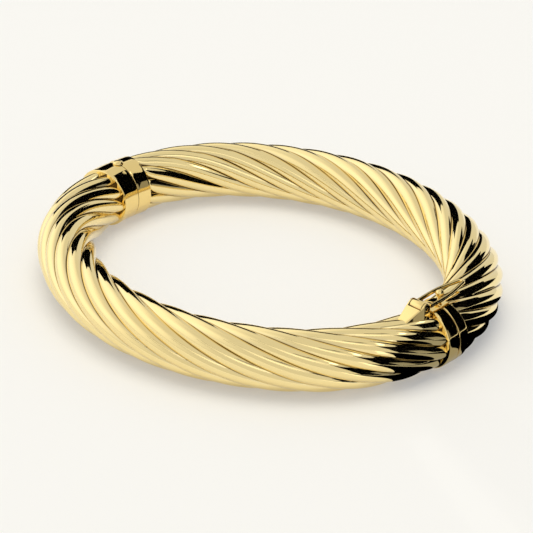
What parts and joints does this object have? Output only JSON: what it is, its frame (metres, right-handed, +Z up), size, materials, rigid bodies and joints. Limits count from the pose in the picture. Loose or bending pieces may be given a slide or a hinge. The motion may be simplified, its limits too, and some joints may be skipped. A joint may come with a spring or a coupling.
{
  "type": "hinged rope-twist bangle",
  "caption": "Oval bangle of polished gold, a hollow rope-twist tube hinged in two halves, with a tongue clasp and a swinging safety catch.",
  "frame": {"origin": "middle of the oval, on the surface that the bangle lies on", "axes": "+X along the oval from the hinge to the clasp, +Y towards the back half, +Z up, along the axis that the wrist passes through"},
  "size_m": [0.0764, 0.0651, 0.0114],
  "materials": {
    "polished_gold": "polished yellow gold"
  },
  "bodies": {
    "front": {"front_half": "polished_gold", "hinge_pin": "polished_gold", "catch_pin": "polished_gold"},
    "back": {"back_half": "polished_gold", "clasp_tongue": "polished_gold"},
    "catch": {"safety_catch": "polished_gold"}
  },
  "joints": [
    {"name": "main_hinge", "type": "hinge", "parent": "front", "child": "back", "pos_m": [-0.0334, 0, 0.0048], "axis": [0, 0, 1], "range_deg": [0, 36]},
    {"name": "catch_hinge", "type": "hinge", "parent": "front", "child": "catch", "pos_m": [0.0333, -0.0036, 0.01055], "axis": [1, 0, 0], "range_deg": [0, 150]}
  ]
}
